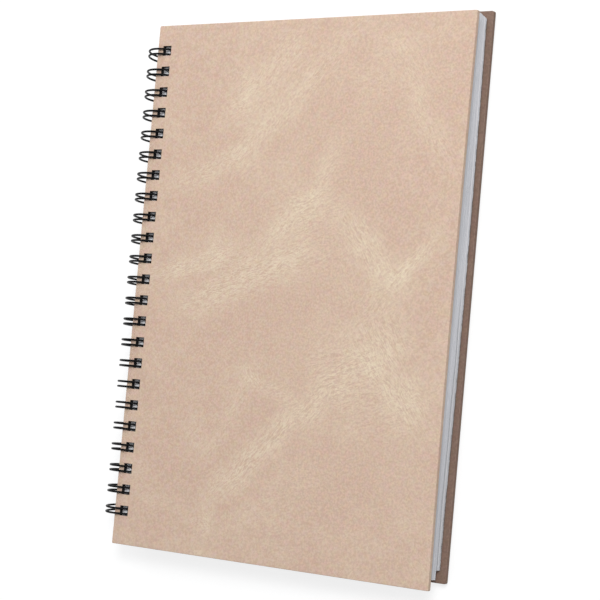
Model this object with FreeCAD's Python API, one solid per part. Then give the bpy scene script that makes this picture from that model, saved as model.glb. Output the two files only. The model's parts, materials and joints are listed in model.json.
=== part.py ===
import FreeCAD, Part
import math
import os

# Wire-bound notebook, closed, lying on its back cover. Sizes are in millimetres.
# X runs from the bound edge to the fore-edge, Y from the foot to the head, Z up.
# The origin is the middle of the footprint, at the height of the lowest point of the wire.

# Covers: two boards of the same size, with the finish wrapped round their edges
COVER_WIDTH = 149.0
COVER_HEIGHT = 210.0
COVER_THICKNESS = 1.8
FRONT_CORNER_RADIUS = 0.5
BACK_CORNER_RADIUS = 0.8
COVER_EDGE_RADIUS = 0.25

# The covers are punched from opposite ends, so each sits off the middle of the wire
FRONT_COVER_SHIFT = -1.3
BACK_COVER_SHIFT = 0.85

# Page block: it stands a little past the front cover at the head, where its rear part slants
# back, and its rear leaves are cut shorter at the foot
PAGE_STACK = 9.6
PAGE_COVER_GAP = 0.1
PAGE_FORE_INSET = 2.5
PAGE_HEAD_OVERHANG = 0.35
PAGE_FOOT_INSET = 3.4
PAGE_HEAD_SLANT = 1.2
SLANTED_LEAVES = 5.1
REAR_LEAVES = 2.8
REAR_LEAVES_STEP = 3.4

# Wire: one continuous length, bent into pairs of loops, three pairs to the inch
WIRE_DIAMETER = 0.85
RING_ALLOWANCE = 1.3
RING_PITCH = 25.4 / 3.0
RING_END_MARGIN = 10.0
TWIN_SPACING = 2.03
BASE_BEND_RADIUS = 0.9
WIRE_END = 1.2

# The loops close under the back cover: bases on one side of the lowest point, tips on the other.
# Angles are in degrees from the lowest point.
BASE_ANGLE = 16.0
TIP_ANGLE = 16.0

# Punched holes: the room that they leave around a pair of wires
HOLE_CLEARANCE_ACROSS = 0.32
HOLE_CLEARANCE_ALONG = 0.56
FRONT_HOLE_SLACK = 0.25

# Thickness of the closed book, and the radii of the loops that go round it
half_stack = PAGE_STACK / 2.0
board_inner = half_stack + PAGE_COVER_GAP
board_outer = board_inner + COVER_THICKNESS
ring_inner_radius = board_outer + RING_ALLOWANCE / 2.0
ring_radius = ring_inner_radius + WIRE_DIAMETER / 2.0
ring_outer_radius = ring_radius + WIRE_DIAMETER / 2.0

# How far the wire hangs below the loops' axis, at their bases and at their tips
half_twin = TWIN_SPACING / 2.0
base_turn = math.radians(BASE_ANGLE)
tip_turn = math.radians(TIP_ANGLE)
base_drop = ring_radius * math.cos(base_turn) + BASE_BEND_RADIUS * math.sin(base_turn)
tip_drop = ring_radius * math.cos(tip_turn) + half_twin * math.sin(tip_turn)

# The loops' axis is over the bound edge of both covers
axis_x = (ring_outer_radius - COVER_WIDTH) / 2.0
axis_y = -(FRONT_COVER_SHIFT + BACK_COVER_SHIFT) / 2.0
axis_z = max(base_drop, tip_drop) + WIRE_DIAMETER / 2.0

# Where the loops cross the boards and the pages, measured from their axis
board_cross_near = math.sqrt(ring_inner_radius ** 2 - board_outer ** 2)
board_cross_far = math.sqrt(ring_outer_radius ** 2 - board_inner ** 2)
page_cross_near = math.sqrt(ring_inner_radius ** 2 - half_stack ** 2)
board_hole_middle = (board_cross_near + board_cross_far) / 2.0
page_hole_middle = (page_cross_near + ring_outer_radius) / 2.0

# Every layer goes through the same punch
hole_width = board_cross_far - board_cross_near + 2.0 * HOLE_CLEARANCE_ACROSS
hole_height = TWIN_SPACING + WIRE_DIAMETER + 2.0 * HOLE_CLEARANCE_ALONG
page_spine_inset = page_hole_middle - board_hole_middle

# Middles of the loop pairs along Y
ring_count = int((COVER_HEIGHT - 2.0 * RING_END_MARGIN) / RING_PITCH) + 1
ring_places = [axis_y + (k - (ring_count - 1) / 2.0) * RING_PITCH for k in range(ring_count)]


def punch(sheet, middle_from_axis, slack):
    """Cut a row of square holes right through, one for each pair of loops."""
    depth = 2.0 * ring_outer_radius
    cutters = []
    for place in ring_places:
        corner = FreeCAD.Vector(
            axis_x + middle_from_axis - hole_width / 2.0,
            place + slack - hole_height / 2.0,
            axis_z - ring_outer_radius,
        )
        cutters.append(Part.makeBox(hole_width, hole_height, depth, corner))
    return sheet.cut(Part.makeCompound(cutters))


def edges_along_z(shape):
    """Straight edges that run along Z."""
    found = []
    for edge in shape.Edges:
        box = edge.BoundBox
        if box.XLength < 1e-6 and box.YLength < 1e-6:
            found.append(edge)
    return found


def edges_around_faces(shape):
    """Edges that lie flat, around the two broad faces."""
    return [edge for edge in shape.Edges if edge.BoundBox.ZLength < 1e-6]


def cover(underside_from_axis, shift, corner_radius, slack):
    """One board with rounded corners and edges, punched along its bound edge."""
    corner = FreeCAD.Vector(
        axis_x,
        axis_y + shift - COVER_HEIGHT / 2.0,
        axis_z + underside_from_axis,
    )
    board = Part.makeBox(COVER_WIDTH, COVER_HEIGHT, COVER_THICKNESS, corner)
    board = board.makeFillet(corner_radius, edges_along_z(board))
    board = board.makeFillet(COVER_EDGE_RADIUS, edges_around_faces(board))
    return punch(board, board_hole_middle, slack)


def page_block():
    """All leaves as one block, with a step at the foot and a slanting head."""
    head = axis_y + FRONT_COVER_SHIFT + COVER_HEIGHT / 2.0 + PAGE_HEAD_OVERHANG
    foot = axis_y + FRONT_COVER_SHIFT - COVER_HEIGHT / 2.0 + PAGE_FOOT_INSET
    top = axis_z + half_stack
    bottom = axis_z - half_stack
    left = axis_x + page_spine_inset
    right = axis_x + COVER_WIDTH - PAGE_FORE_INSET
    outline = [
        (head, top),
        (head, bottom + SLANTED_LEAVES),
        (head - PAGE_HEAD_SLANT, bottom),
        (foot + REAR_LEAVES_STEP, bottom),
        (foot + REAR_LEAVES_STEP, bottom + REAR_LEAVES),
        (foot, bottom + REAR_LEAVES),
        (foot, top),
    ]
    points = [FreeCAD.Vector(left, y, z) for y, z in outline]
    side = Part.Face(Part.makePolygon(points + points[:1]))
    block = side.extrude(FreeCAD.Vector(right - left, 0.0, 0.0))
    return punch(block, page_hole_middle, 0.0)


def ring_point(angle, y, ahead=0.0):
    """Point of a loop at an angle from the lowest point, moved ahead along the tangent."""
    turn = math.radians(angle)
    return FreeCAD.Vector(
        axis_x + ring_radius * math.sin(turn) + ahead * math.cos(turn),
        y,
        axis_z - ring_radius * math.cos(turn) + ahead * math.sin(turn),
    )


def ring_arc(start, end, y):
    """Arc of a loop between two angles."""
    middle = (start + end) / 2.0
    return Part.Arc(ring_point(start, y), ring_point(middle, y), ring_point(end, y)).toShape()


def base_bend(y, side):
    """Quarter turn that joins a loop to the straight wire beside it."""
    diagonal = BASE_BEND_RADIUS * math.sqrt(0.5)
    outer = y + side * BASE_BEND_RADIUS
    return Part.Arc(
        ring_point(BASE_ANGLE, outer, -BASE_BEND_RADIUS),
        ring_point(BASE_ANGLE, outer - side * diagonal, -diagonal),
        ring_point(BASE_ANGLE, y),
    ).toShape()


def base_line(start_y, end_y):
    """Straight wire between two pairs of loops, or at an end of the comb."""
    return Part.LineSegment(
        ring_point(BASE_ANGLE, start_y, -BASE_BEND_RADIUS),
        ring_point(BASE_ANGLE, end_y, -BASE_BEND_RADIUS),
    ).toShape()


def wire_path():
    """Centre line of the whole comb, from its foot end to its head end."""
    tip = 360.0 - TIP_ANGLE
    reach = half_twin + BASE_BEND_RADIUS
    path = [base_line(ring_places[0] - reach - WIRE_END, ring_places[0] - reach)]
    for number, place in enumerate(ring_places):
        near = place - half_twin
        far = place + half_twin
        path.append(base_bend(near, -1.0))
        path.append(ring_arc(BASE_ANGLE, tip, near))
        path.append(Part.Arc(
            ring_point(tip, near), ring_point(tip, place, half_twin), ring_point(tip, far),
        ).toShape())
        path.append(ring_arc(tip, BASE_ANGLE, far))
        path.append(base_bend(far, 1.0))
        last = number == ring_count - 1
        end = place + reach + WIRE_END if last else ring_places[number + 1] - reach
        path.append(base_line(place + reach, end))
    return Part.Wire(path)


def wire_comb():
    """Round wire swept along the comb's centre line."""
    path = wire_path()
    start = path.Vertexes[0].Point
    section = Part.Wire(Part.makeCircle(WIRE_DIAMETER / 2.0, start, FreeCAD.Vector(0.0, 1.0, 0.0)))
    comb = path.makePipeShell([section], True, True)
    expected = math.pi * (WIRE_DIAMETER / 2.0) ** 2 * path.Length
    print("wire length", round(path.Length, 2), "volume", round(comb.Volume, 3), "of", round(expected, 3))
    return comb


pieces = {
    "back_cover": cover(-board_outer, BACK_COVER_SHIFT, BACK_CORNER_RADIUS, 0.0),
    "page_block": page_block(),
    "front_cover": cover(board_inner, FRONT_COVER_SHIFT, FRONT_CORNER_RADIUS, FRONT_HOLE_SLACK),
    "wire_comb": wire_comb(),
}

os.makedirs("parts", exist_ok=True)
for name, shape in pieces.items():
    shape.exportStep("parts/" + name + ".step")
    box = shape.BoundBox
    print(
        name, len(shape.Solids), shape.isValid(), round(shape.Volume, 2),
        [round(v, 3) for v in (box.XMin, box.XMax, box.YMin, box.YMax, box.ZMin, box.ZMax)],
    )
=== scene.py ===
import json
import math
import random
import bmesh
import bpy
from mathutils import Euler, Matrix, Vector
from mathutils import noise as mathutils_noise


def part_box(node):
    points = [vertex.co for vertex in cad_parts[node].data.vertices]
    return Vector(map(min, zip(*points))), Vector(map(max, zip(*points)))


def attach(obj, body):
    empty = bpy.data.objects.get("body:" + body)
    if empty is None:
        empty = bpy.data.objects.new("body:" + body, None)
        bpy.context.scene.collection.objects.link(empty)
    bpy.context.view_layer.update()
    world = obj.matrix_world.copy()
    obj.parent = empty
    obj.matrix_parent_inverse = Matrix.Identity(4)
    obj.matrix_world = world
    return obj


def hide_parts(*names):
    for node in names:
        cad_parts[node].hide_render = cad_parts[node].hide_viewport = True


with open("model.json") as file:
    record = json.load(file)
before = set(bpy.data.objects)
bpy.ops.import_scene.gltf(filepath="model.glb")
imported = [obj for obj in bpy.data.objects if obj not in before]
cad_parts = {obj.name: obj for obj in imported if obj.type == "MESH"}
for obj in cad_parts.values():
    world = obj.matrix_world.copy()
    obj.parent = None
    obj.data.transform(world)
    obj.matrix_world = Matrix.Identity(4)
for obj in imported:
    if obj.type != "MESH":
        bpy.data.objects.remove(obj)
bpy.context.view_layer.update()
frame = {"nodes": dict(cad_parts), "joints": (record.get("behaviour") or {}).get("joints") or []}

# Everything below is in metres, in the part's own frame: X from the bound edge to the
# fore-edge, Y from the foot to the head, Z up. Real sizes are written in millimetres, and the
# materials work in millimetres.
MM = 0.001

# Loops' axis, round which the pages and the front cover turn
AXIS_X, _, AXIS_Z = frame["joints"][0]["pos_m"]

# Camera: the photograph's viewpoint, as the place, the turn in degrees and the focal length in
# millimetres that fit the notebook's corners in the photo, on a 36 mm sensor
CAMERA_PLACE = Vector((435.42, -42.55, 606.86)) * MM
CAMERA_TURN = (6.616, 35.182, 6.269)
CAMERA_LENS = 115.38
CAMERA_SENSOR = 36.0

# Studio: half the side of the floor, in metres
HALF_FLOOR = 1.6

# Front cover: how far the middle of its fore-edge stands above its corners, the power by which
# that grows from the bound edge, and the spacing of the cuts that let the board bend
COVER_BOW = 1.06 * MM
COVER_BOW_POWER = 1.5
COVER_CUT = 2.5 * MM
COVER_LOW, COVER_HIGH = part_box("front_cover")

# Front cover: corners of its mesh that are nearer than this are one, and its surface looks smooth
# across edges that turn by less than this
WELD = 0.001 * MM
SMOOTH_BELOW = math.radians(35.0)

# Punched holes: how many, their spacing and size, how far their middles are from the loops' axis
# in the covers and in the pages, and half a length that holds their whole row
HOLE_COUNT = 23
HOLE_PITCH = 25.4 / 3.0 * MM
HOLE_WIDTH = 4.193 * MM
HOLE_HEIGHT = 4.0 * MM
COVER_HOLE_MIDDLE = 4.8 * MM
PAGE_HOLE_MIDDLE = 6.883 * MM
HALF_HOLE_ROW = 98.0 * MM

# Pages: how many leaves, the slant of the rear ones at the head, the step of the last ones at the
# foot, and the spacing of the cuts that let the leaves bend
LEAVES = 90
HEAD_SLANT = 1.2 * MM
SLANTED_LEAVES = 5.1 * MM
REAR_LEAVES = 2.8 * MM
REAR_STEP = 3.4 * MM
PAGE_CUT = 18.0 * MM

# Pages: how unevenly the leaves were knocked up, leaf by leaf and as batches of eight
LEAF_SCATTER = 0.035 * MM
BATCH_SCATTER = 0.11 * MM
BATCH_LEAVES = 8

# Pages: how far the paper has worked out past the frame's fore-edge, all along it and more in its
# middle, and where that middle is and half of its length
CORNER_REACH = 0.12 * MM
MIDDLE_REACH = 0.55 * MM
REACH_MIDDLE = 12.0 * MM
REACH_HALF_LENGTH = 85.0 * MM

# Wire: its size and its bends as the frame has them, with angles from the lowest point of a loop
WIRE_DIAMETER = 0.85 * MM
TWIN_SPACING = 2.03 * MM
BASE_BEND = 0.9 * MM
WIRE_END = 1.2 * MM
SEAM_ANGLE = 16.0
LOOP_STEPS = 44
BEND_STEPS = 6

# The loops were pushed over: for some of them, counted from the head, how far in mm their backs
# lean to the foot. Inside the book the holes hold them, so there they lean at most as the last
# value says.
LOOP_LEANS = (
    (0, 1.50), (1, 0.90), (3, 0.75), (9, 0.75), (12, 0.60),
    (15, 0.10), (19, 0.0), (21, -0.30), (22, -0.90),
)
HELD_LEAN = 0.45

# Fibres of the creased skin: the three directions in degrees from X in which they run, how many
# degrees off one a crease still draws on it, and their length and width in mm. They are drawn a
# little coarse to show. Last, how much pale and how much dark colour they take.
FIBRE_TURNS = (18.0, 47.0, 130.0)
FIBRE_SPREAD = 14.0
FIBRE_LENGTH = 4.2
FIBRE_WIDTH = 0.66
PALE_SHARE = 0.66
DARK_SHARE = 0.5

# How far the creases wander from straight lines, and over what length, in mm
DRIFT = 2.5
DRIFT_SIZE = 16.0

# How a crease ends: the share of its strength that is left at its two ends, how steeply it grows
# from there, and the power by which it falls off to its sides
CREASE_END = 0.4
CREASE_GROWTH = 3.0
CREASE_FALL = 1.7

# Pale creases of the front cover: half width in mm, strength, and places in mm in the part's
# own X and Y, along the middle of each bend of the skin
CREASES = [
    (12.0, 0.65, ((3, 99), (-5, 90), (-14, 80), (-25, 71))),
    (8.5, 0.65, ((24, 95), (11, 84), (-1, 71), (-12, 61), (-26, 51), (-37, 45), (-60, 40))),
    (5.0, 0.25, ((-37, 45), (-37, 35))),
    (14.0, 0.35, ((42, 98), (51, 88), (56, 80))),
    (8.0, 0.50, ((56, 80), (56, 69), (61, 61), (74, 50))),
    (5.0, 0.35, ((-66, -86), (-45, -88), (-28, -92), (-10, -95))),
    (7.5, 0.45, ((21, 57), (19, 49), (17, 39), (16, 32))),
    (7.0, 0.70, ((-61, 3), (-43, 7), (-23, 13))),
    (10.0, 0.55, ((-25, 11), (-14, 12), (-3, 20), (6, 28), (16, 32))),
    (9.0, 0.55, ((16, 32), (27, 29), (36, 22), (42, 13), (53, 4))),
    (5.0, 0.80, ((53, 4), (62, 12), (71, 20))),
    (10.5, 0.80, ((-46, -12), (-32, -5), (-17, 1), (-1, 6), (15, 9))),
    (15.0, 0.30, ((4, 20), (28, 17), (42, 10))),
    (19.0, 0.55, ((51, 1), (48, -11), (52, -23), (56, -31))),
    (12.5, 0.55, ((55, -29), (60, -37), (71, -48))),
    (10.0, 0.55, ((52, -25), (40, -30), (29, -36), (21, -44))),
    (8.0, 0.85, ((21, -44), (12, -50), (-1, -63), (-11, -73), (-25, -83))),
    (6.0, 0.40, ((-25, -83), (-22, -94), (-23, -100))),
    (16.0, 0.40, ((30, -43), (48, -42), (68, -46))),
    (5.0, 0.70, ((-13, -32), (-3, -38), (16, -43))),
    (5.0, 0.45, ((-10, -38), (-14, -50), (-20, -60), (-29, -67))),
    (4.0, 0.25, ((56, 51), (58, 40))),
    (10.0, 0.30, ((17, -27), (37, -24))),
    (12.5, 0.25, ((-59, -24), (-50, -40))),
    (15.0, 0.20, ((68, -57), (70, -91))),
    (6.0, 0.25, ((37, -89), (53, -91))),
]


def srgb(hex_colour):
    """Linear colour of an sRGB hex value such as 'D4BBA8'."""
    channels = []
    for place in (0, 2, 4):
        value = int(hex_colour[place:place + 2], 16) / 255.0
        linear = value / 12.92 if value <= 0.04045 else ((value + 0.055) / 1.055) ** 2.4
        channels.append(linear)
    return (*channels, 1.0)


def add(tree, kind, inputs=None, output=None, **settings):
    """Add one node. Settings are its own properties, inputs are values or the sockets that feed
    it. Gives the node, or the output that is asked for."""
    made = tree.nodes.new(kind)
    for name, value in settings.items():
        setattr(made, name, value)
    for name, value in (inputs or {}).items():
        if isinstance(value, bpy.types.NodeSocket):
            tree.links.new(value, made.inputs[name])
        else:
            made.inputs[name].default_value = value
    return made if output is None else made.outputs[output]


def new_material(name):
    """Empty material, its node tree, and places on the piece in millimetres."""
    material = bpy.data.materials.new(name)
    material.use_nodes = True
    tree = material.node_tree
    tree.nodes.clear()
    in_metres = add(tree, "ShaderNodeTexCoord", output="Object")
    in_mm = add(
        tree, "ShaderNodeVectorMath", {0: in_metres, 1: (1000.0, 1000.0, 1000.0)}, "Vector",
        operation="MULTIPLY",
    )
    return material, tree, in_mm


def flatness(tree):
    """1 on the broad faces of a piece, and 0 on its edges and on the walls of its holes."""
    normal = add(tree, "ShaderNodeTexCoord", output="Normal")
    upright = add(tree, "ShaderNodeSeparateXYZ", {"Vector": normal}, "Z")
    return add(tree, "ShaderNodeMath", {0: upright}, "Value", operation="ABSOLUTE")


def around_holes(tree, parts, hole_middle, reach):
    """1 along the row of punched holes, up to a reach in millimetres from its middle line, and 0
    elsewhere."""
    across = add(tree, "ShaderNodeMath", {
        0: parts.outputs["X"], 1: (AXIS_X + hole_middle) / MM, 2: reach,
    }, "Value", operation="COMPARE")
    along = add(tree, "ShaderNodeMath", {
        0: parts.outputs["Y"], 1: 0.0, 2: HALF_HOLE_ROW / MM,
    }, "Value", operation="COMPARE")
    return add(tree, "ShaderNodeMath", {0: across, 1: along}, "Value", operation="MULTIPLY")


def crease_fibres(tree, place):
    """Pale and dark shares of a creased skin: the strengths painted on the mesh and a faint web
    all over, drawn as fibres that run along each set of creases."""
    painted = add(tree, "ShaderNodeVertexColor", output="Color", layer_name="creases")
    # Patches of faint creases about 26 mm across, each direction in patches of its own
    patches = add(tree, "ShaderNodeTexNoise", {
        "Vector": place, "Scale": 1.0 / 26.0, "Detail": 2.0,
    }, "Color")
    faint = add(tree, "ShaderNodeVectorMath", {
        0: patches, 1: (1.8, 1.8, 1.8), 2: (-0.95, -0.95, -0.95),
    }, "Vector", operation="MULTIPLY_ADD")
    faint = add(tree, "ShaderNodeVectorMath", {
        0: faint, 1: (0.0, 0.0, 0.0),
    }, "Vector", operation="MAXIMUM")
    strengths = add(tree, "ShaderNodeVectorMath", {
        0: painted, 1: faint,
    }, "Vector", operation="ADD")
    strengths = add(tree, "ShaderNodeSeparateXYZ", {"Vector": strengths})
    # The fibres waver by about a millimetre over 8 mm
    waver = add(tree, "ShaderNodeTexNoise", {
        "Vector": place, "Scale": 1.0 / 8.0, "Detail": 2.0,
    }, "Color")
    wavering = add(tree, "ShaderNodeVectorMath", {
        0: waver, 1: (3.0, 3.0, 0.0), 2: place,
    }, "Vector", operation="MULTIPLY_ADD")
    # A fibre stands up where the noise is halfway, and the skin is sunken a little beside it
    pale = 0.0
    dark = 0.0
    for axis, turn in zip("XYZ", FIBRE_TURNS):
        along = add(tree, "ShaderNodeMapping", {
            "Vector": wavering, "Rotation": (0.0, 0.0, math.radians(turn)),
            "Scale": (FIBRE_LENGTH, FIBRE_WIDTH, 1.0),
        }, "Vector", vector_type="TEXTURE")
        fibres = add(tree, "ShaderNodeTexNoise", {
            "Vector": along, "Scale": 1.0, "Detail": 2.0, "Roughness": 0.6, "Distortion": 0.6,
        }, "Fac")
        apart = add(tree, "ShaderNodeMath", {0: fibres, 1: 0.5}, "Value", operation="SUBTRACT")
        apart = add(tree, "ShaderNodeMath", {0: apart}, "Value", operation="ABSOLUTE")
        raised = add(tree, "ShaderNodeMapRange", {
            "Value": apart, "From Min": 0.015, "From Max": 0.080, "To Min": 1.25, "To Max": 0.2,
        }, "Result", interpolation_type="SMOOTHSTEP")
        sunken = add(tree, "ShaderNodeMapRange", {
            "Value": apart, "From Min": 0.06, "From Max": 0.15, "To Min": 0.0, "To Max": 0.6,
        }, "Result", interpolation_type="SMOOTHSTEP")
        pale = add(tree, "ShaderNodeMath", {
            0: raised, 1: strengths.outputs[axis], 2: pale,
        }, "Value", operation="MULTIPLY_ADD")
        dark = add(tree, "ShaderNodeMath", {
            0: sunken, 1: strengths.outputs[axis], 2: dark,
        }, "Value", operation="MULTIPLY_ADD")
    return pale, dark


def painted_hole_wall_shade(tree, place):
    """1 on the walls of the punched holes, which are painted near black as painted shade, and 0
    elsewhere.
    """
    wall = add(tree, "ShaderNodeMath", {0: flatness(tree), 1: 0.5}, "Value", operation="LESS_THAN")
    # The holes reach 2.1 mm from their middles, and the bound edge is 4.8 mm away
    parts = add(tree, "ShaderNodeSeparateXYZ", {"Vector": place})
    in_row = around_holes(tree, parts, COVER_HOLE_MIDDLE, 3.5)
    return add(tree, "ShaderNodeMath", {0: wall, 1: in_row}, "Value", operation="MULTIPLY")


def leatherette(name, skin, pitted, flecked, creased=None):
    """Coated paper embossed as leather, wrapped round a board: matt and finely grained, with
    flecks of other tints, and the walls of its punched holes painted near black as painted shade.
    With a colour for its creases, it also has the pale and dark fibres of a skin that was bent."""
    material, tree, place = new_material(name)
    deep = srgb(pitted)
    # Flecks of pink, green and yellow about 1.5 mm across, and a grain of 0.8 mm, coarse enough
    # to show
    flecks = add(tree, "ShaderNodeTexNoise", {
        "Vector": place, "Scale": 1.0 / 2.6, "Detail": 2.5, "Roughness": 0.7,
    }, "Color")
    colour = add(tree, "ShaderNodeMix", {
        0: flecked, 6: srgb(skin), 7: flecks,
    }, 2, data_type="RGBA", blend_type="LINEAR_LIGHT")
    grain = add(tree, "ShaderNodeTexNoise", {
        "Vector": place, "Scale": 1.0 / 0.85, "Detail": 2.0, "Roughness": 0.6, "Distortion": 0.4,
    }, "Fac")
    pits = add(tree, "ShaderNodeMapRange", {
        "Value": grain, "From Min": 0.36, "From Max": 0.64, "To Min": 0.0, "To Max": 0.42,
    }, "Result", interpolation_type="SMOOTHSTEP")
    colour = add(tree, "ShaderNodeMix", {0: pits, 6: colour, 7: deep}, 2, data_type="RGBA")
    height = add(tree, "ShaderNodeMath", {0: 1.0, 1: pits}, "Value", operation="SUBTRACT")
    if creased:
        pale, dark = crease_fibres(tree, place)
        worn = add(tree, "ShaderNodeMath", {
            0: pale, 1: PALE_SHARE,
        }, "Value", operation="MULTIPLY")
        sunk = add(tree, "ShaderNodeMath", {
            0: dark, 1: DARK_SHARE,
        }, "Value", operation="MULTIPLY")
        colour = add(tree, "ShaderNodeMix", {0: sunk, 6: colour, 7: deep}, 2, data_type="RGBA")
        colour = add(tree, "ShaderNodeMix", {
            0: worn, 6: colour, 7: srgb(creased),
        }, 2, data_type="RGBA")
        height = add(tree, "ShaderNodeMath", {0: height, 1: pale}, "Value", operation="ADD")
    # Painted shade: the walls of the punched holes are painted near black, where they lie in
    # shadow
    hole_wall_shade = painted_hole_wall_shade(tree, place)
    colour = add(tree, "ShaderNodeMix", {
        0: hole_wall_shade, 6: colour, 7: srgb("171515"),
    }, 2, data_type="RGBA")
    bump = add(tree, "ShaderNodeBump", {
        "Height": height, "Strength": 0.3, "Distance": 0.00008,
    }, "Normal")
    shader = add(tree, "ShaderNodeBsdfPrincipled", {
        "Base Color": colour, "Roughness": 0.66, "IOR": 1.45, "Specular IOR Level": 0.35,
        "Normal": bump,
    }, "BSDF")
    add(tree, "ShaderNodeOutputMaterial", {"Surface": shader})
    return material


def cut_paper():
    """Uncoated white paper. Its broad faces and holes are white. The guillotined edges of the
    stack are painted greyer, as painted shade where light sinks in between the leaves, with fine
    lines along it."""
    material, tree, place = new_material("uncoated_paper_cut")
    # Lines along the block, one for each few leaves: about 0.5 mm apart through the stack
    along = add(tree, "ShaderNodeVectorMath", {
        0: place, 1: (0.02, 0.02, 2.0),
    }, "Vector", operation="MULTIPLY")
    lines = add(tree, "ShaderNodeTexNoise", {
        "Vector": along, "Scale": 1.0, "Detail": 3.0, "Roughness": 0.7,
    }, "Fac")
    lines = add(tree, "ShaderNodeMapRange", {
        "Value": lines, "From Min": 0.35, "From Max": 0.65,
    }, "Result", interpolation_type="SMOOTHSTEP")
    # Painted shade: the cut edges are painted grey, darker than the white broad faces, where light
    # sinks in between the leaves
    edge = add(tree, "ShaderNodeMix", {
        0: lines, 6: srgb("D6D8DD"), 7: srgb("E6E7EC"),
    }, 2, data_type="RGBA")
    # In the lower half the rear leaves lie loose, and are painted greyer as painted shade of the
    # others, under a painted shadow: a grey line 0.7 mm high. Their border is as high as the
    # foot's step, and wanders by up to 0.8 mm.
    low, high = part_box("page_block")
    wander = 0.8
    half_line = 0.35
    waves = add(tree, "ShaderNodeTexNoise", {
        "Vector": place, "Scale": 1.0 / 22.0, "Detail": 2.0,
    }, "Fac")
    border = add(tree, "ShaderNodeMath", {
        0: waves, 1: 2.0 * wander, 2: (low.z + REAR_LEAVES) / MM - wander,
    }, "Value", operation="MULTIPLY_ADD")
    parts = add(tree, "ShaderNodeSeparateXYZ", {"Vector": place})
    rear = add(tree, "ShaderNodeMath", {
        0: parts.outputs["Z"], 1: border,
    }, "Value", operation="LESS_THAN")
    lower = add(tree, "ShaderNodeMapRange", {
        "Value": parts.outputs["Y"], "From Min": -20.0, "From Max": 12.0,
        "To Min": 0.85, "To Max": 0.0,
    }, "Result", interpolation_type="SMOOTHSTEP")
    # Painted shade on the rear leaves in the lower half
    painted_rear_shade = add(tree, "ShaderNodeMath", {0: rear, 1: lower}, "Value", operation="MULTIPLY")
    edge = add(tree, "ShaderNodeMix", {
        0: painted_rear_shade, 6: edge, 7: srgb("CDCFD3"),
    }, 2, data_type="RGBA")
    # Painted shadow: a grey line along the border between the front and rear leaves
    painted_border_shadow = add(tree, "ShaderNodeMath", {
        0: parts.outputs["Z"], 1: border, 2: half_line,
    }, "Value", operation="COMPARE")
    painted_border_shadow = add(tree, "ShaderNodeMath", {
        0: painted_border_shadow, 1: lower,
    }, "Value", operation="MULTIPLY")
    edge = add(tree, "ShaderNodeMix", {
        0: painted_border_shadow, 6: edge, 7: srgb("B0B2B6"),
    }, 2, data_type="RGBA")
    # A ragged dark line of painted shadow along the fore-edge, where the last leaves lie loose on
    # the board and light sinks in between them. The noise lies about 0.5, so it is some 0.6 mm
    # high.
    ragged_reach = 1.6
    below_stack = 0.2
    edge_depth = 1.0
    ragged = add(tree, "ShaderNodeTexNoise", {
        "Vector": place, "Scale": 1.0 / 3.0, "Detail": 3.0, "Roughness": 0.7,
    }, "Fac")
    ragged = add(tree, "ShaderNodeMath", {
        0: ragged, 1: ragged_reach, 2: low.z / MM - below_stack,
    }, "Value", operation="MULTIPLY_ADD")
    painted_gap_shadow = add(tree, "ShaderNodeMath", {
        0: parts.outputs["Z"], 1: ragged,
    }, "Value", operation="LESS_THAN")
    at_fore_edge = add(tree, "ShaderNodeMath", {
        0: parts.outputs["X"], 1: high.x / MM - edge_depth,
    }, "Value", operation="GREATER_THAN")
    painted_gap_shadow = add(tree, "ShaderNodeMath", {0: painted_gap_shadow, 1: at_fore_edge}, "Value", operation="MULTIPLY")
    edge = add(tree, "ShaderNodeMix", {0: painted_gap_shadow, 6: edge, 7: srgb("6A645F")}, 2, data_type="RGBA")
    # White where a face lies flat, and on the walls of the holes, 2.1 mm from their middles
    walls = around_holes(tree, parts, PAGE_HOLE_MIDDLE, 2.4)
    white = add(tree, "ShaderNodeMath", {
        0: flatness(tree), 1: walls,
    }, "Value", operation="MAXIMUM")
    colour = add(tree, "ShaderNodeMix", {
        0: white, 6: edge, 7: srgb("F8F8FA"),
    }, 2, data_type="RGBA")
    # Paper fibres, 0.3 mm long
    fibres = add(tree, "ShaderNodeTexNoise", {
        "Vector": place, "Scale": 1.0 / 0.3, "Detail": 2.0,
    }, "Fac")
    bump = add(tree, "ShaderNodeBump", {
        "Height": fibres, "Strength": 0.2, "Distance": 0.00003,
    }, "Normal")
    shader = add(tree, "ShaderNodeBsdfPrincipled", {
        "Base Color": colour, "Roughness": 0.85, "IOR": 1.45, "Normal": bump,
    }, "BSDF")
    add(tree, "ShaderNodeOutputMaterial", {"Surface": shader})
    return material


def coated_wire():
    """Steel wire in black nylon: near black, satin, with soft grey lights along each loop."""
    material, tree, place = new_material("nylon_coated_steel_wire")
    # Rubbed spots about a millimetre long, and the orange peel of the coating, 0.25 mm
    rubbed = add(tree, "ShaderNodeTexNoise", {
        "Vector": place, "Scale": 1.0 / 1.2, "Detail": 3.0,
    }, "Fac")
    colour = add(tree, "ShaderNodeMix", {
        0: rubbed, 6: srgb("020203"), 7: srgb("0B0B0D"),
    }, 2, data_type="RGBA")
    roughness = add(tree, "ShaderNodeMapRange", {
        "Value": rubbed, "From Min": 0.3, "From Max": 0.7, "To Min": 0.32, "To Max": 0.46,
    }, "Result")
    peel = add(tree, "ShaderNodeTexNoise", {
        "Vector": place, "Scale": 1.0 / 0.25, "Detail": 2.0,
    }, "Fac")
    bump = add(tree, "ShaderNodeBump", {
        "Height": peel, "Strength": 0.15, "Distance": 0.00002,
    }, "Normal")
    shader = add(tree, "ShaderNodeBsdfPrincipled", {
        "Base Color": colour, "Roughness": roughness, "IOR": 1.53, "Specular IOR Level": 0.11,
        "Normal": bump,
    }, "BSDF")
    add(tree, "ShaderNodeOutputMaterial", {"Surface": shader})
    return material


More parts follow.
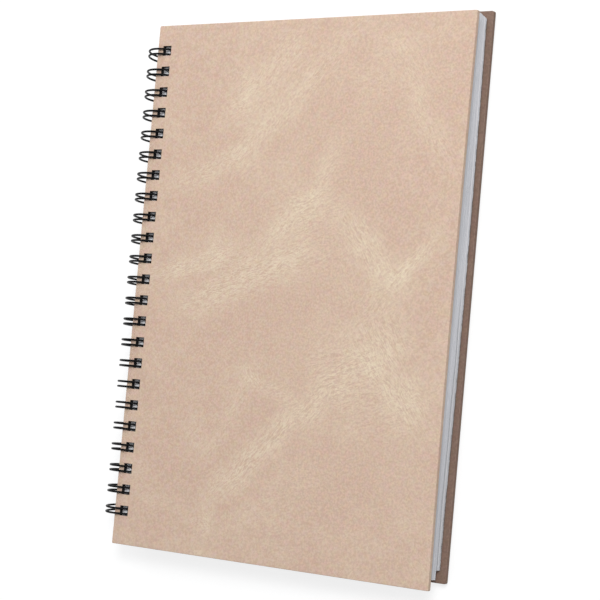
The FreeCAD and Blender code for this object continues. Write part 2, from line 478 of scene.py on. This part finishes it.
def white_floor():
    """Matt white studio sheet. Seen directly or mirrored, it adds light of its own up to white."""
    material, tree, place = new_material("white_studio_sheet")
    grain = add(tree, "ShaderNodeTexNoise", {
        "Vector": place, "Scale": 1.0 / 2.0, "Detail": 2.0,
    }, "Fac")
    colour = add(tree, "ShaderNodeMix", {
        0: grain, 6: srgb("949494"), 7: srgb("9A9A9A"),
    }, 2, data_type="RGBA")
    matt = add(tree, "ShaderNodeBsdfDiffuse", {"Color": colour}, "BSDF")
    rays = add(tree, "ShaderNodeLightPath")
    seen = add(tree, "ShaderNodeMath", {
        0: rays.outputs["Is Camera Ray"], 1: rays.outputs["Is Glossy Ray"],
    }, "Value", operation="MAXIMUM")
    seen = add(tree, "ShaderNodeMath", {
        0: seen, 1: rays.outputs["Is Transmission Ray"],
    }, "Value", operation="MAXIMUM")
    strength = add(tree, "ShaderNodeMath", {0: seen, 1: 0.76}, "Value", operation="MULTIPLY")
    own_light = add(tree, "ShaderNodeEmission", {
        "Color": (1.0, 1.0, 1.0, 1.0), "Strength": strength,
    }, "Emission")
    both = add(tree, "ShaderNodeAddShader", {0: matt, 1: own_light}, "Shader")
    add(tree, "ShaderNodeOutputMaterial", {"Surface": both})
    return material


def crease_paint(x, y):
    """Strength of the creases at a place of the front cover, shared out over the three
    directions in which fibres run."""
    here = Vector((x, y)) / MM
    drift = mathutils_noise.noise_vector(Vector((here.x, here.y, 0.0)) / DRIFT_SIZE)
    here += Vector((drift.x, drift.y)) * DRIFT
    shares = [0.0, 0.0, 0.0]
    for half_width, strength, places in CREASES:
        runs = [(Vector(a), Vector(b) - Vector(a)) for a, b in zip(places, places[1:])]
        whole = sum(run.length for _, run in runs)
        nearest = half_width
        behind = 0.0
        for start, run in runs:
            ahead = min(1.0, max(0.0, (here - start).dot(run) / run.length_squared))
            aside = (here - start - run * ahead).length
            if aside < nearest:
                nearest = aside
                turn = math.degrees(math.atan2(run.y, run.x))
                passed = (behind + ahead * run.length) / whole
            behind += run.length
        if nearest >= half_width:
            continue
        from_end = min(passed, 1.0 - passed)
        fading = min(1.0, CREASE_END + CREASE_GROWTH * from_end)
        body = strength * fading * (1.0 - (nearest / half_width) ** 2) ** CREASE_FALL
        near = []
        for fibre_turn in FIBRE_TURNS:
            apart = abs((turn - fibre_turn + 90.0) % 180.0 - 90.0)
            near.append(math.exp(-(apart / FIBRE_SPREAD) ** 2))
        for k, weight in enumerate(near):
            shares[k] += body * weight / sum(near)
    most = max(1.0, sum(shares))
    return [share / most for share in shares]


def dress(piece, material):
    """Give a piece one material."""
    piece.data.materials.clear()
    piece.data.materials.append(material)


def set_out(name, data):
    """Put a mesh, curve, lamp or camera in the scene under a name."""
    placed = bpy.data.objects.new(name, data)
    bpy.context.scene.collection.objects.link(placed)
    return placed


def bow(x, y):
    """How far the front cover stands up at a place, because its board is bent."""
    across = max(0.0, (x - COVER_LOW.x) / (COVER_HIGH.x - COVER_LOW.x))
    along = (2.0 * y - COVER_LOW.y - COVER_HIGH.y) / (COVER_HIGH.y - COVER_LOW.y)
    return COVER_BOW * across ** COVER_BOW_POWER * max(0.0, 1.0 - along ** 2)


def cuts(low, high, spacing):
    """Evenly spaced places between two limits, about this far apart."""
    count = max(1, round((high - low) / spacing))
    return [low + (high - low) * k / count for k in range(1, count)]


def smooth_but_sharp_edges(grid, angle):
    """Shade a mesh smooth except across edges that turn by this angle or more."""
    grid.faces.ensure_lookup_table()
    for face in grid.faces:
        face.smooth = True
    for edge in grid.edges:
        edge.smooth = len(edge.link_faces) == 2 and edge.calc_face_angle() < angle


def front_cover():
    """The front board as in the frame, cut into a grid and bent up along its fore-edge."""
    node = frame["nodes"]["front_cover"]
    grid = bmesh.new()
    grid.from_mesh(node.data)
    bmesh.ops.remove_doubles(grid, verts=grid.verts, dist=WELD)
    for axis, normal in enumerate((Vector((1.0, 0.0, 0.0)), Vector((0.0, 1.0, 0.0)))):
        for place in cuts(COVER_LOW[axis], COVER_HIGH[axis], COVER_CUT):
            bmesh.ops.bisect_plane(
                grid, geom=grid.verts[:] + grid.edges[:] + grid.faces[:],
                plane_co=normal * place, plane_no=normal,
            )
    for vertex in grid.verts:
        vertex.co.z += bow(vertex.co.x, vertex.co.y)
    smooth_but_sharp_edges(grid, SMOOTH_BELOW)
    mesh = bpy.data.meshes.new("front_cover_bent")
    grid.to_mesh(mesh)
    grid.free()
    paint = mesh.color_attributes.new("creases", "FLOAT_COLOR", "POINT")
    halfway = (COVER_LOW.z + COVER_HIGH.z) / 2.0
    for vertex, painted in zip(mesh.vertices, paint.data):
        outside = vertex.co.z > halfway
        shares = crease_paint(vertex.co.x, vertex.co.y) if outside else (0.0, 0.0, 0.0)
        painted.color = (*shares, 1.0)
    piece = set_out("front_cover_bent", mesh)
    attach(piece, "front")
    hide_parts("front_cover")
    return piece


def leaf_offsets():
    """For each leaf, how far it stands back at the fore-edge, foot and head."""
    chance = random.Random(11)
    offsets = []
    for leaf in range(LEAVES):
        if leaf % BATCH_LEAVES == 0:
            batch = [chance.uniform(0.0, BATCH_SCATTER) for _ in range(3)]
        offsets.append([share + chance.uniform(0.0, LEAF_SCATTER) for share in batch])
    return offsets


def page_stack():
    """All leaves as one closed shell, in which each leaf has an edge of its own."""
    low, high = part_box("page_block")
    thickness = high.z - low.z
    leaf_height = thickness / LEAVES
    middle_y = (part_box("wire_comb")[0].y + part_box("wire_comb")[1].y) / 2.0
    hole_left = AXIS_X + PAGE_HOLE_MIDDLE - HOLE_WIDTH / 2.0
    hole_right = hole_left + HOLE_WIDTH
    across = [low.x, hole_left, hole_right, *cuts(hole_right, high.x, PAGE_CUT), high.x]
    along = [low.y]
    for number in range(HOLE_COUNT):
        place = middle_y + (number - (HOLE_COUNT - 1) / 2.0) * HOLE_PITCH
        along += [place - HOLE_HEIGHT / 2.0, place + HOLE_HEIGHT / 2.0]
    along.append(high.y)
    columns = len(across) - 1
    rows = len(along) - 1
    rim = [(i, 0) for i in range(columns)] + [(columns, j) for j in range(rows)]
    rim += [(i, rows) for i in range(columns, 0, -1)] + [(0, j) for j in range(rows, 0, -1)]
    offsets = leaf_offsets()
    places = []
    faces = []

    def corner(leaf, level, i, j):
        """Place of one grid corner of one leaf, at its lower or upper face."""
        share = (level - 0.5) / LEAVES
        rear = leaf * leaf_height < REAR_LEAVES
        fore, foot, head = offsets[leaf]
        x = across[i]
        y = along[j]
        if j == 0:
            y = low.y + foot + (REAR_STEP if rear else 0.0)
        if j == rows:
            y = high.y - head - HEAD_SLANT * max(0.0, 1.0 - share * thickness / SLANTED_LEAVES)
        if i == columns:
            from_middle = (y - REACH_MIDDLE) / REACH_HALF_LENGTH
            x = high.x - fore + CORNER_REACH + MIDDLE_REACH * max(0.0, 1.0 - from_middle ** 2)
        z = low.z + level * leaf_height
        z += bow(x, y) * (z - low.z) / thickness
        return (x, y, z)

    def loop(leaf, level):
        """Add the outline of one face of a leaf, and give its vertex numbers."""
        start = len(places)
        places.extend(corner(leaf, level, i, j) for i, j in rim)
        return list(range(start, start + len(rim)))

    def band(lower, upper):
        """Faces between two outlines."""
        for k in range(len(rim)):
            after = (k + 1) % len(rim)
            faces.append((lower[k], lower[after], upper[after], upper[k]))

    def broad_face(leaf, level, outline, upward):
        """Grid of one outer face, open at the holes. Gives the numbers of its corners."""
        numbers = dict(zip(rim, outline))
        for i in range(1, columns):
            for j in range(1, rows):
                numbers[i, j] = len(places)
                places.append(corner(leaf, level, i, j))
        for i in range(columns):
            for j in range(rows):
                if i == 1 and j % 2 == 1:
                    continue
                face = (numbers[i, j], numbers[i + 1, j], numbers[i + 1, j + 1], numbers[i, j + 1])
                faces.append(face if upward else face[::-1])
        return numbers

    outline = loop(0, 0)
    below = broad_face(0, 0, outline, False)
    for leaf in range(LEAVES):
        upper = loop(leaf, leaf + 1)
        band(outline, upper)
        if leaf + 1 < LEAVES:
            outline = loop(leaf + 1, leaf + 1)
            band(upper, outline)
    above = broad_face(LEAVES - 1, LEAVES, upper, True)
    for j in range(1, rows, 2):
        ring = [(1, j), (2, j), (2, j + 1), (1, j + 1)]
        for here, after in zip(ring, ring[1:] + ring[:1]):
            faces.append((above[here], above[after], below[after], below[here]))
    mesh = bpy.data.meshes.new("page_leaves")
    mesh.from_pydata(places, [], faces)
    mesh.validate()
    piece = set_out("page_leaves", mesh)
    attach(piece, "pages")
    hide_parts("page_block")
    return piece


def loop_lean(from_head):
    """How far the back of one pair of loops leans to the foot."""
    for (before, start), (after, end) in zip(LOOP_LEANS, LOOP_LEANS[1:]):
        if from_head <= after:
            return (start + (end - start) * (from_head - before) / (after - before)) * MM


def wire_places():
    """Centre line of the wire, from its foot end to its head end, as places in a row."""
    low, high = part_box("wire_comb")
    radius = AXIS_X - low.x - WIRE_DIAMETER / 2.0
    middle_y = (low.y + high.y) / 2.0
    half = TWIN_SPACING / 2.0
    held = HELD_LEAN * MM
    lean = 0.0
    route = []

    def put(angle, y, ahead=0.0):
        """Add a place at an angle round a loop, moved ahead along its tangent."""
        turn = math.radians(angle)
        x = AXIS_X + radius * math.sin(turn) + ahead * math.cos(turn)
        z = AXIS_Z - radius * math.cos(turn) + ahead * math.sin(turn)
        depth = (AXIS_Z + radius - z) / (2.0 * radius)
        here = lean if x < AXIS_X else max(-held, min(held, lean))
        route.append((x, y - here * depth, z))

    def bend(y, side, opening):
        """Quarter turn between a loop and the straight wire beside it."""
        steps = range(BEND_STEPS) if opening else range(BEND_STEPS, 0, -1)
        for step in steps:
            turn = step / BEND_STEPS * math.pi / 2.0
            aside = side * BASE_BEND * (1.0 - math.sin(turn))
            put(SEAM_ANGLE, y + aside, -BASE_BEND * math.cos(turn))

    def ring(y, backwards):
        """One loop of wire, nearly a full turn."""
        for step in range(LOOP_STEPS + 1):
            share = step / LOOP_STEPS
            share = 1.0 - share if backwards else share
            put(SEAM_ANGLE + share * (360.0 - 2.0 * SEAM_ANGLE), y)

    first = middle_y - (HOLE_COUNT - 1) / 2.0 * HOLE_PITCH
    put(SEAM_ANGLE, first - half - BASE_BEND - WIRE_END, -BASE_BEND)
    for number in range(HOLE_COUNT):
        place = first + number * HOLE_PITCH
        lean = loop_lean(HOLE_COUNT - 1 - number)
        bend(place - half, -1.0, True)
        ring(place - half, False)
        for step in range(1, 2 * BEND_STEPS):
            turn = step / (2 * BEND_STEPS) * math.pi
            put(360.0 - SEAM_ANGLE, place - half * math.cos(turn), half * math.sin(turn))
        ring(place + half, True)
        bend(place + half, 1.0, False)
        put(SEAM_ANGLE, place + half + BASE_BEND, -BASE_BEND)
    put(SEAM_ANGLE, place + half + BASE_BEND + WIRE_END, -BASE_BEND)
    return route


def wire():
    """Round wire along its centre line, as a mesh."""
    route = wire_places()
    line = bpy.data.curves.new("wire_line", "CURVE")
    line.dimensions = "3D"
    line.bevel_depth = WIRE_DIAMETER / 2.0
    line.bevel_resolution = 3
    line.use_fill_caps = True
    spline = line.splines.new("POLY")
    spline.points.add(len(route) - 1)
    for point, place in zip(spline.points, route):
        point.co = (*place, 1.0)
    swept = set_out("wire_line", line)
    bpy.context.view_layer.update()
    mesh = bpy.data.meshes.new_from_object(swept)
    bpy.data.objects.remove(swept)
    mesh.shade_smooth()
    piece = set_out("twin_loop_wire", mesh)
    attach(piece, "root")
    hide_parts("wire_comb")
    return piece


def light(name, towards, distance, size, level):
    """Square soft box with white light, aimed at the notebook's middle. Its distance and size are
    in metres. Its level is the brightness at which a white surface that faces it comes out."""
    lamp = bpy.data.lights.new(name, "AREA")
    lamp.shape = "SQUARE"
    lamp.size = size
    lamp.energy = level * math.pi ** 2 * distance ** 2
    placed = set_out(name, lamp)
    direction = Vector(towards).normalized()
    placed.location = direction * distance
    placed.rotation_euler = direction.to_track_quat("Z", "Y").to_euler()


def studio():
    """Floor, lamps, sky and camera."""
    mesh = bpy.data.meshes.new("studio_floor")
    corners = [
        (-HALF_FLOOR, -HALF_FLOOR, 0.0), (HALF_FLOOR, -HALF_FLOOR, 0.0),
        (HALF_FLOOR, HALF_FLOOR, 0.0), (-HALF_FLOOR, HALF_FLOOR, 0.0),
    ]
    mesh.from_pydata(corners, [], [(0, 1, 2, 3)])
    floor = set_out("studio_floor", mesh)
    dress(floor, white_floor())

    light("key_soft_box", towards=(0.48, 0.36, 0.80), distance=1.50, size=0.52, level=0.62)
    light("head_soft_box", towards=(-0.38, 0.84, 0.58), distance=0.56, size=0.38, level=0.20)

    world = bpy.data.worlds.new("studio_sky")
    world.use_nodes = True
    tree = world.node_tree
    tree.nodes.clear()
    sky = add(tree, "ShaderNodeBackground", {
        "Color": srgb("FBFCFF"), "Strength": 0.42,
    }, "Background")
    add(tree, "ShaderNodeOutputWorld", {"Surface": sky})
    bpy.context.scene.world = world

    camera = bpy.data.cameras.new("camera")
    camera.lens = CAMERA_LENS
    camera.sensor_width = CAMERA_SENSOR
    placed = set_out("camera", camera)
    placed.location = CAMERA_PLACE
    placed.rotation_euler = Euler([math.radians(angle) for angle in CAMERA_TURN])
    bpy.context.scene.camera = placed
    bpy.context.scene.view_settings.view_transform = "Standard"


studio()
dress(
    front_cover(),
    leatherette("beige_leatherette", "D9BEAA", "BA9882", flecked=0.075, creased="EADBC0"),
)
dress(page_stack(), cut_paper())
dress(
    frame["nodes"]["back_cover"],
    leatherette("brown_leatherette", "8E7567", "6E584A", flecked=0.02),
)
dress(wire(), coated_wire())
